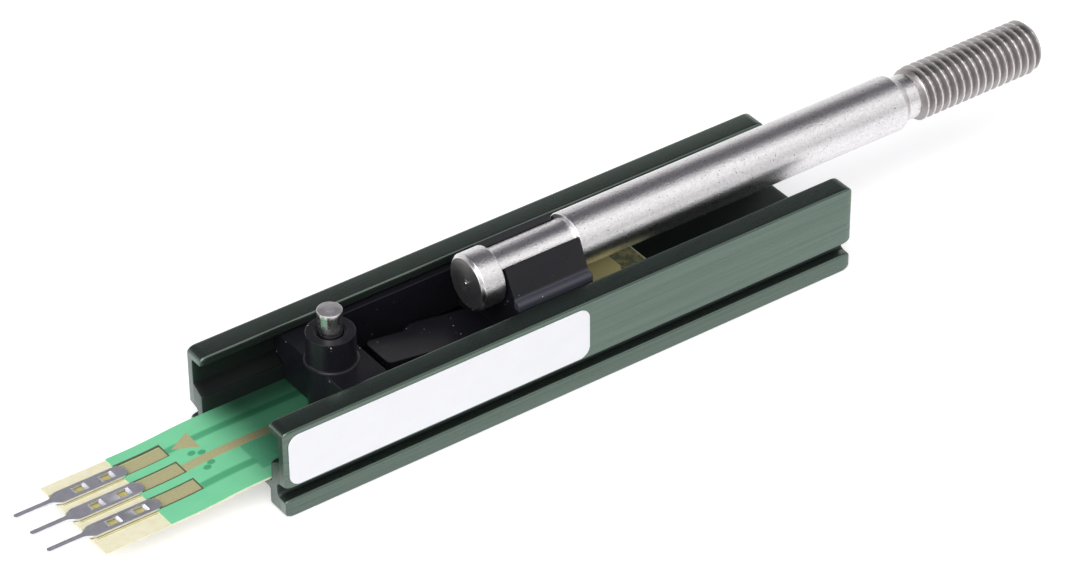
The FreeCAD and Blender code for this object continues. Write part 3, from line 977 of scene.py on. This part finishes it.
@dataclass
class Studio:
    """Camera, pale floor, soft lamps and the surroundings that the metal reflects."""

    azimuth: float = -35.402
    elevation: float = 36.332
    roll: float = -0.471
    place: tuple[float, float, float] = (-169.425, -235.642, 218.241)
    lens: float = 145.29
    sensor: float = 36.0
    lamps: tuple[Softbox, ...] = (
        Softbox("overhead_softbox", (-0.42, -0.2, 0.55), (0.6, 0.6), 3.0),
        Softbox("front_softbox", (-0.42, -0.55, 0.32), (0.5, 0.4), 0.5),
    )
    floor_size: float = 6.0
    floor_drop: float = 0.02
    floor_light: Colour = (0.45, 0.45, 0.45, 1.0)
    back_wall: tuple[float, float] = (-0.3, 0.0)
    dusk_heights: tuple[float, float] = (0.43, 0.51)
    ceiling_heights: tuple[float, float] = (0.4, 0.7)
    seam_heights: tuple[float, float] = (0.07, 0.15)
    paper: Colour = paint(226, 226, 228)
    pale_paper: Colour = paint(232, 232, 232)
    wall: Colour = (0.95, 0.95, 0.95, 1.0)
    ceiling: Colour = (1.3, 1.3, 1.3, 1.0)
    dusk: Colour = (0.1, 0.096, 0.114, 1.0)
    seam: Colour = (0.15, 0.15, 0.16, 1.0)

    def build(self) -> None:
        """Make the camera first, then the surroundings, lamps and floor."""
        self.make_camera()
        self.make_world()
        for lamp in self.lamps:
            lamp.build()
        self.make_floor()
        bpy.context.scene.view_settings.view_transform = "Standard"

    def make_camera(self) -> None:
        """Place the camera; it looks back along its own direction, turned a little about it."""
        turn, lift = math.radians(self.azimuth), math.radians(self.elevation)
        back = Vector((
            math.sin(turn) * math.cos(lift),
            -math.cos(turn) * math.cos(lift),
            math.sin(lift),
        ))
        right = (-back).cross(Vector((0, 0, 1))).normalized()
        up = right.cross(-back)
        roll = math.radians(self.roll)
        side = right * math.cos(roll) + up * math.sin(roll)
        top = up * math.cos(roll) - right * math.sin(roll)
        camera = bpy.data.objects.new("camera", bpy.data.cameras.new("camera"))
        bpy.context.scene.collection.objects.link(camera)
        bpy.context.scene.camera = camera
        pose = Matrix((side, top, back)).transposed().to_4x4()
        pose.translation = Vector(self.place) * MM
        camera.matrix_world = pose
        camera.data.sensor_width = self.sensor
        camera.data.lens = self.lens
        camera.data.clip_start = 0.01
        camera.data.clip_end = 20.0

    def make_world(self) -> None:
        """A pale room that is dark over its back wall and in the seam before its front wall.

        The camera itself sees plain white.
        """
        world = bpy.data.worlds.new("studio")
        bpy.context.scene.world = world
        g = Graph(world)
        _, y, z = g.split(g.node("ShaderNodeTexCoord", output="Generated"))
        behind = y.rise(*self.back_wall)
        light = g.mix(z.rise(*self.ceiling_heights), self.wall, self.ceiling)
        light = g.mix(behind * z.rise(*self.dusk_heights), light, self.dusk)
        light = g.mix((1 - z.rise(*self.seam_heights)) * (1 - behind), light, self.seam)
        seen = g.node("ShaderNodeLightPath", output="Is Camera Ray")
        colour = g.mix(seen, light, (1.0, 1.0, 1.0, 1.0))
        g.node_output("ShaderNodeOutputWorld", g.node("ShaderNodeBackground", inputs={"Color": colour}))

    def make_floor(self) -> None:
        """A pale sheet under the object, lifted to white for the eye but still holding the shadow."""
        half = self.floor_size / 2
        low = -self.floor_drop * MM
        corners = np.array([(-half, -half, low), (half, -half, low), (half, half, low), (-half, half, low)])
        floor = put_object("floor", corners, [[0, 1, 2, 3]])
        g = new_graph("floor_paper")
        x, y, z = g.millimetres()
        tone = g.noise(g.vector(x * 0.02, y * 0.02, z), detail=2.0)
        path = g.node("ShaderNodeLightPath").socket.node.outputs
        seen = Signal(g, path["Is Camera Ray"]).larger(Signal(g, path["Is Glossy Ray"]))
        seen = seen.larger(Signal(g, path["Is Transmission Ray"]))
        dress(floor, g.surface({
            "Base Color": g.mix(tone, self.paper, self.pale_paper),
            "Roughness": 0.9,
            "Specular IOR Level": 0.0,
            "Emission Color": g.mix(seen, (0.0, 0.0, 0.0, 1.0), self.floor_light),
            "Emission Strength": 1.0,
        }))


@dataclass
class Housing:
    """The green channel, drawn out along X with tumbled ends, and the white label on its front."""

    channel_width: float = 10.0
    lip_opening: float = 9.86
    lip_height: float = 0.95
    guide_wall: float = 0.9
    guide_height: float = 2.25
    guide_slope: float = 0.7
    foot_height: float = 1.75
    foot_width: float = 2.4
    floor_thickness: float = 1.05
    groove_depth: float = 1.15
    groove_height: float = 1.07
    groove_round: float = 0.38
    outer_round: float = 0.28
    inner_round: float = 0.15
    floor_round: float = 0.03
    least_round: float = 0.02
    end_reach: float = 0.8
    end_inset: float = 0.16
    end_wear: float = 0.3
    corner_steps: int = 6
    end_steps: int = 9
    label_edge: float = 0.02

    def build(self) -> None:
        """Draw the channel, dress it and put a soft-edged label on it."""
        low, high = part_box("housing")
        finish = AnodisedAluminium(low.x / MM, high.x / MM, high.y / MM, high.z / MM)
        housing = self.make_channel(low, high)
        dress(housing, finish.material())
        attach(housing, "housing")
        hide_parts("housing")
        report(housing, "green anodised channel with sawn ends")
        label = softened_copy("label", self.label_edge)
        dress(label, LabelStock().material())
        report(label, "blank white label")

    def half_section(self, half_width: float, height: float, worn: float) -> np.ndarray:
        """Corners of the section's half at positive y, from the underside up.

        Args:
            half_width, height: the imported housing's reach across and up.
            worn: how far the top, the underside and the groove's edges are tumbled away.

        Returns:
            The y, z and rounding radius of each corner.
        """
        foot_side = half_width - self.foot_width
        groove_side = half_width - self.groove_depth
        groove_top = self.foot_height + self.groove_height
        guide_side = half_width - self.guide_wall
        guide_top = height - self.lip_height
        guide_foot = guide_top - self.guide_height
        return np.array([
            (foot_side, self.foot_height, self.inner_round),
            (foot_side, worn, self.outer_round),
            (half_width, worn, self.outer_round),
            (half_width, self.foot_height - worn / 2, self.outer_round),
            (groove_side, self.foot_height, self.groove_round),
            (groove_side, groove_top, self.groove_round),
            (half_width, groove_top + worn, self.outer_round),
            (half_width, height - worn, self.outer_round),
            (self.lip_opening / 2, height - worn, self.outer_round),
            (self.lip_opening / 2, guide_top, self.outer_round),
            (guide_side, guide_top, self.inner_round),
            (guide_side, guide_foot, self.inner_round),
            (self.channel_width / 2, guide_foot - self.guide_slope, self.outer_round),
            (self.channel_width / 2, self.foot_height + self.floor_thickness, self.floor_round),
        ])

    def rounded_section(self, corners: np.ndarray, inset: float) -> np.ndarray:
        """The whole outline, moved inward and rounded at its corners.

        A corner moves by inset * (m + n) / (1 + m . n), for the inward directions m and n of its
        sides. Its curve's ends lie R tan(turn / 2) from the moved corner, and R shrinks by the
        inset at an outer corner and grows by it at an inner one.

        Args:
            corners: y, z and radius of each corner, anticlockwise.
            inset: how far the outline moves inward, in millimetres.

        Returns:
            The outline's points as rows of y and z.
        """
        place, radius = corners[:, :2], corners[:, 2]
        ahead = np.roll(place, -1, axis=0) - place
        ahead = ahead / np.linalg.norm(ahead, axis=1)[:, None]
        behind = np.roll(ahead, 1, axis=0)
        turned = np.stack([-ahead[:, 1], ahead[:, 0]], axis=-1)
        before = np.roll(turned, 1, axis=0)
        shared = (before * turned).sum(axis=1)
        corner = place + inset * (before + turned) / (1 + shared)[:, None]
        bend = np.arctan2(behind[:, 0] * ahead[:, 1] - behind[:, 1] * ahead[:, 0], shared)
        radius = np.maximum(radius - np.sign(bend) * inset, self.least_round)
        reach = radius * np.tan(np.abs(bend) / 2)
        start = (corner - behind * reach[:, None])[:, None]
        end = (corner + ahead * reach[:, None])[:, None]
        t = np.linspace(0, 1, self.corner_steps + 1)[None, :, None]
        return corner_curve(start, corner[:, None], end, t).reshape(-1, 2)

    def make_channel(self, low: Vector, high: Vector) -> bpy.types.Object:
        """Rows of the section along X; at both ends it shrinks and wears along a quarter round.

        For an angle a from nought to a quarter turn, a row lies at e (1 - cos a) from the end,
        is moved inward by i (1 - sin a), and is worn by w (1 - sin a).

        Args:
            low, high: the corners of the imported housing's box.

        Returns:
            The closed channel.
        """
        angle = np.linspace(0, math.pi / 2, self.end_steps)
        from_end = self.end_reach * (1 - np.cos(angle))
        shrink = 1 - np.sin(angle)
        left, right = low.x / MM, high.x / MM
        along = np.concatenate([left + from_end, right - from_end[::-1]])
        share = np.concatenate([shrink, shrink[::-1]])
        outlines = []
        for part in share:
            half = self.half_section(high.y / MM, high.z / MM, self.end_wear * part)
            corners = np.vstack([half, half[::-1] * np.array([-1.0, 1.0, 1.0])])
            outlines.append(self.rounded_section(corners, self.end_inset * part))
        outline = np.stack(outlines)
        rows, columns = outline.shape[:2]
        place = np.broadcast_to(along[:, None, None], (rows, columns, 1))
        points = np.concatenate([place, outline], axis=-1).reshape(-1, 3) * MM
        faces = sheet_faces(rows, columns, False).tolist()
        first = list(range(columns))[::-1]
        last = list(range((rows - 1) * columns, rows * columns))
        return put_object("housing_channel", points, faces + [first, last])


@dataclass
class MembraneSensor:
    """The three bonded films on the channel's floor, and the contacts on their tail."""

    contact_edge: float = 0.035
    contact_count: int = 3

    def build(self) -> None:
        """Dress the films with their print, then finish the contacts."""
        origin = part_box("housing")[0].x / MM
        for node, finish, words in (
            ("base_film", BaseFilm(origin), "cream film with contact pads"),
            ("film_spacer", BondingFilm(origin), "bonding film"),
            ("top_film", CoverFilm(origin), "green covering film with its print"),
        ):
            piece = frame["nodes"][node]
            dress(piece, finish.material())
            report(piece, words)
        sheet = TinnedSheet(origin).material()
        for number in range(1, self.contact_count + 1):
            contact = softened_copy("contact_%d" % number, self.contact_edge)
            dress(contact, sheet)
            report(contact, "stamped contact")


@dataclass
class Carriage:
    """The black moulding that carries the wiper and holds the rod."""

    edge: float = 0.07
    edge_bend: float = 32
    edge_steps: int = 3
    clip_length: float = 7.4
    clip_lead: float = 0.1
    block_top: float = 7.45
    boss_radius: float = 2.05
    fillet: float = 0.26
    fillet_steps: int = 6
    fillet_sink: float = 0.05
    columns: int = 96

    def build(self) -> None:
        """Round the moulding's edges and run a fillet round its boss."""
        clip_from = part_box("carriage")[1].x / MM - self.clip_length - self.clip_lead
        black = BlackMoulding(clip_from).material()
        body = softened_copy("carriage", self.edge, self.edge_bend, self.edge_steps)
        dress(body, black)
        report(body, "moulding with rounded edges")
        ring = self.make_fillet()
        dress(ring, black)
        report(ring, "fillet round the boss's foot")

    def make_fillet(self) -> bpy.types.Object:
        """A ring whose section is a hollow quarter round, closed inside the boss and the block.

        The hollow side runs from the boss, at radius R and height f, to the block, at radius R + f:
        (R + f - f sin a, f - f cos a) for a from a quarter turn to nought.

        Returns:
            The ring, which rides on the carriage.
        """
        pin_low, pin_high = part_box("wiper_pin")
        centre = (pin_low + pin_high) / 2
        centre.z = self.block_top * MM
        angle = np.linspace(math.pi / 2, 0, self.fillet_steps)
        outer = self.boss_radius + self.fillet
        hollow = np.stack([outer - self.fillet * np.sin(angle), self.fillet * (1 - np.cos(angle))], axis=-1)
        sunk = np.array([
            (outer, -self.fillet_sink),
            (self.boss_radius - self.fillet_sink, -self.fillet_sink),
            (self.boss_radius - self.fillet_sink, self.fillet),
        ])
        section = np.vstack([hollow, sunk])[::-1] * MM
        turn = np.linspace(0, 2 * math.pi, self.columns, endpoint=False)
        spoke = np.stack([np.cos(turn), np.sin(turn), np.zeros_like(turn)], axis=-1)
        rise = section[:, 1][:, None, None] * np.array([0.0, 0.0, 1.0])
        points = np.array(centre) + section[:, 0][:, None, None] * spoke[None] + rise
        faces = sheet_faces(len(section), self.columns, True)
        ring = put_object("boss_fillet", points.reshape(-1, 3), faces.tolist())
        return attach(ring, "carriage")


@dataclass
class WiperSpring:
    """The coil spring round the pin, inside the carriage's boss."""

    wire: float = 0.28
    coil_radius: float = 1.34
    turns: float = 7.5
    closed_share: float = 0.2
    closed_pitch: float = 1.05
    turn_steps: int = 36
    wire_steps: int = 12
    plunge: float = 1.0

    def build(self) -> None:
        """Wind the spring and dress it."""
        spring = self.make_spring()
        dress(spring, GroundSteel("spring_wire", shine=0.16, grain_height=0.003).material())
        report(spring, "coil spring in the boss")

    def make_spring(self) -> bpy.types.Object:
        """A wound wire: the coil's line is R (cos a, sin a) with a height that climbs slowly at its ends.

        The wire's skin is line + r (cos b * outward - sin b * up), for b once round, and each end
        closes at the line's own end point. Over the share of closed turns at either end the line
        climbs the closed pitch, in wires, for each turn, and it climbs evenly between them.

        Returns:
            The spring, which rides on the carriage.
        """
        low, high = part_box("wiper_spring")
        middle = (low + high) / 2
        radius = self.wire / 2
        steps = int(self.turns * self.turn_steps) + 1
        share = np.linspace(0, 1, steps)
        angle = share * self.turns * 2 * math.pi
        span = (high.z - low.z) / MM - self.wire
        closed = self.closed_share
        wire_rise = self.wire * self.closed_pitch * closed * self.turns
        inner = np.clip((share - closed) / (1 - 2 * closed), 0, 1)
        ends = np.minimum(share, closed) + np.maximum(share - 1 + closed, 0)
        height = ends / closed * wire_rise + inner * (span - 2 * wire_rise)
        outward = np.stack([np.cos(angle), np.sin(angle), np.zeros(steps)], axis=-1)
        line = outward * self.coil_radius
        line[:, 2] = height + low.z / MM + radius
        round_wire = np.linspace(0, 2 * math.pi, self.wire_steps, endpoint=False)
        up = np.array([0.0, 0.0, 1.0])
        skin = np.cos(round_wire)[None, :, None] * outward[:, None] - np.sin(round_wire)[None, :, None] * up
        points = line[:, None] + radius * skin
        points = np.vstack([points.reshape(-1, 3), line[:1], line[-1:]]) * MM
        points[:, :2] += np.array(middle)[:2]
        spring = put_object("coil_spring", points, capped_faces(steps, self.wire_steps))
        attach(spring, "carriage")
        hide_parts("wiper_spring")
        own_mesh(spring)
        return spring


@dataclass
class WiperPin:
    """The steel pin: nose on the film, collar under the spring, shank and turned head."""

    nose_radius: float = 0.8
    nose_height: float = 0.9
    nose_start: float = 6.0
    nose_steps: int = 12
    collar_radius: float = 1.45
    collar_height: float = 0.6
    shank_radius: float = 1.0
    head_radius: float = 1.05
    head_height: float = 0.45
    columns: int = 72

    def build(self) -> None:
        """Turn the pin from its profile and dress it.

        The nose is a quarter round, (r - r cos a, r sin a), from the start angle in degrees up.
        """
        low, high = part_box("wiper_pin")
        centre = (low + high) / 2
        foot = Vector((centre.x, centre.y, low.z))
        total = (high.z - low.z) / MM
        collar_top = self.nose_height + self.collar_height
        head_foot = total - self.head_height
        angle = np.linspace(math.radians(self.nose_start), math.pi / 2, self.nose_steps)
        nose = np.stack([self.nose_radius * (1 - np.cos(angle)), self.nose_radius * np.sin(angle)], axis=-1)
        upper = rounded_profile([
            (self.nose_radius, self.nose_radius, 0),
            (self.nose_height, self.nose_radius, 0.03),
            (self.nose_height, self.collar_radius, 0.08),
            (collar_top, self.collar_radius, 0.08),
            (collar_top, self.shank_radius, 0.05),
            (head_foot, self.shank_radius, 0.03),
            (head_foot, self.head_radius, 0.04),
            (total, self.head_radius, 0.08),
            (total, 0.3, 0),
        ])
        profile = np.vstack([nose, upper[1:]]) * MM
        radius = np.repeat(profile[:, 1][:, None], self.columns, axis=1)
        pin = turned_piece("wiper_pin_turned", profile[:, 0], radius, foot, Axis.PIN)
        finish = TurnedSteel(
            "turned_pin",
            True,
            (centre.x / MM, centre.y / MM),
            ring_height=0.002,
            face_height=0.03,
            face_at=high.z / MM,
        )
        dress(pin, finish.material())
        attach(pin, "wiper")
        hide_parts("wiper_pin")
        report(pin, "turned pin with a rounded head")


@dataclass
class PullRod:
    """The turned rod: disc, neck, ground shank, relief and a cut screw thread."""

    pip_length: float = 0.12
    pip_radius: float = 0.13
    disc_length: float = 2.3
    neck_length: float = 7.6
    neck_radius: float = 2.0
    relief_length: float = 1.15
    relief_radius: float = 2.0
    thread_length: float = 13.6
    crest_radius: float = 2.45
    tip_radius: float = 2.0
    tip_chamfer: float = 0.55
    pitch: float = 0.8
    crest_flat: float = 0.125
    root_flat: float = 0.25
    thread_depth: float = 0.6134
    disc_chamfer: float = 0.28
    shoulder_chamfer: float = 0.09
    shank_chamfer: float = 0.75
    steps_per_pitch: int = 24
    columns: int = 112
    radius: float = field(init=False)
    total: float = field(init=False)

    def __post_init__(self) -> None:
        """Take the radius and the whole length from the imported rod."""
        low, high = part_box("pull_rod")
        self.radius = (high.z - low.z) / 2 / MM
        self.total = (high.x - low.x) / MM

    def build(self) -> None:
        """Turn the rod, cut its thread and dress its stretches in their own finish."""
        low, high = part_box("pull_rod")
        middle = (low + high) / 2
        plain = self.plain_profile()
        along, thread = self.thread_rows()
        plain_radius = np.repeat(plain[:, 1][:, None], self.columns, axis=1)
        radius = np.vstack([plain_radius, thread])
        rows = np.concatenate([plain[:, 0], along])
        start = Vector((low.x, middle.y, middle.z))
        rod = turned_piece("pull_rod_turned", rows * MM, radius * MM, start, Axis.ROD)
        centre = (middle.y / MM, middle.z / MM)
        dress(
            rod,
            TurnedSteel(
                "turned_disc",
                False,
                centre,
                ring_height=0.004,
                face_height=0.047,
                face_at=low.x / MM + self.pip_length,
            ).material(),
            GroundSteel("ground_shank").material(),
            TurnedSteel(
                "cut_thread",
                False,
                centre,
                ring_height=0.0015,
                shine=0.32,
                crest_radius=self.crest_radius,
            ).material(),
        )
        self.paint_stretches(rod, rows, low.x / MM)
        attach(rod, "rod")
        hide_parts("pull_rod")
        report(rod, "turned rod with a cut thread")

    def plain_profile(self) -> np.ndarray:
        """Rows of the disc, neck, shank and relief.

        Returns:
            The distance from the pip's tip and the radius of each row.
        """
        face = self.pip_length
        neck = face + self.disc_length
        shoulder = neck + self.neck_length
        relief_end = self.total - self.thread_length
        shank_end = relief_end - self.relief_length
        return rounded_profile([
            (0.0, 0.04, 0),
            (0.0, self.pip_radius, 0.03),
            (face * 0.6, self.pip_radius, 0.03),
            (face, self.pip_radius * 2.4, 0.06),
            (face, self.radius - self.disc_chamfer, 0.04),
            (face + self.disc_chamfer, self.radius, 0.06),
            (neck - self.shoulder_chamfer, self.radius, 0.04),
            (neck, self.radius - self.shoulder_chamfer, 0.04),
            (neck, self.neck_radius, 0.06),
            (shoulder, self.neck_radius, 0.06),
            (shoulder, self.radius - self.shoulder_chamfer, 0.04),
            (shoulder + self.shoulder_chamfer, self.radius, 0.04),
            (shank_end - self.shank_chamfer, self.radius, 0.1),
            (shank_end, self.relief_radius, 0.1),
            (relief_end, self.relief_radius, 0),
        ])

    def thread_rows(self) -> tuple[np.ndarray, np.ndarray]:
        """Rows of the thread: a groove of 60 degrees that climbs one pitch for each turn.

        The phase is the fraction of x / pitch - a / (2 pi), and twice its distance from a half is
        t, from nought in the groove's middle to one on the crest. The depth is full where t is below
        the root's flat, none where it is above one less the crest's flat, and straight between.
        The radius is the smaller of the blank's and that of the cut.

        Returns:
            The place of each row, and its radius at each angle.
        """
        start = self.total - self.thread_length
        count = int(self.thread_length / self.pitch * self.steps_per_pitch)
        along = np.linspace(start, self.total, count + 1)[1:]
        rise = self.crest_radius - self.relief_radius
        blank = np.interp(
            along,
            [start, start + rise, self.total - self.tip_chamfer, self.total],
            [self.relief_radius, self.crest_radius, self.crest_radius, self.tip_radius],
        )
        angle = np.linspace(0, 1, self.columns, endpoint=False)
        phase = np.mod(along[:, None] / self.pitch - angle[None, :], 1.0)
        from_groove = 2 * np.abs(phase - 0.5)
        flank = 1 - self.crest_flat - self.root_flat
        depth = self.thread_depth * self.pitch * np.clip((1 - self.crest_flat - from_groove) / flank, 0, 1)
        return along, np.minimum(blank[:, None], self.crest_radius - depth)

    def paint_stretches(self, rod: bpy.types.Object, rows: np.ndarray, left: float) -> None:
        """Give each face the finish of its stretch: the disc's face, neck and shank, or thread.

        Args:
            rod: the finished rod.
            rows: the place of each row.
            left: the rod's left end, in millimetres.
        """
        face = self.pip_length + self.disc_chamfer
        thread = self.total - self.thread_length
        count = len(rod.data.polygons)
        centres = np.zeros(count * 3, dtype=np.float32)
        rod.data.polygons.foreach_get("center", centres)
        place = centres.reshape(-1, 3)[:, 0] / MM - left
        slot = np.where(place < face, 0, np.where(place < thread, 1, 2))
        rod.data.polygons.foreach_set("material_index", slot.astype(np.int32))


def main() -> None:
    """Build the studio, then each sub-assembly in turn."""
    logging.basicConfig(level=logging.INFO, format="%(message)s")
    Studio().build()
    for assembly in (Housing(), MembraneSensor(), Carriage(), WiperSpring(), WiperPin(), PullRod()):
        log.info("%s", type(assembly).__name__)
        assembly.build()


if __name__ == "__main__":
    main()
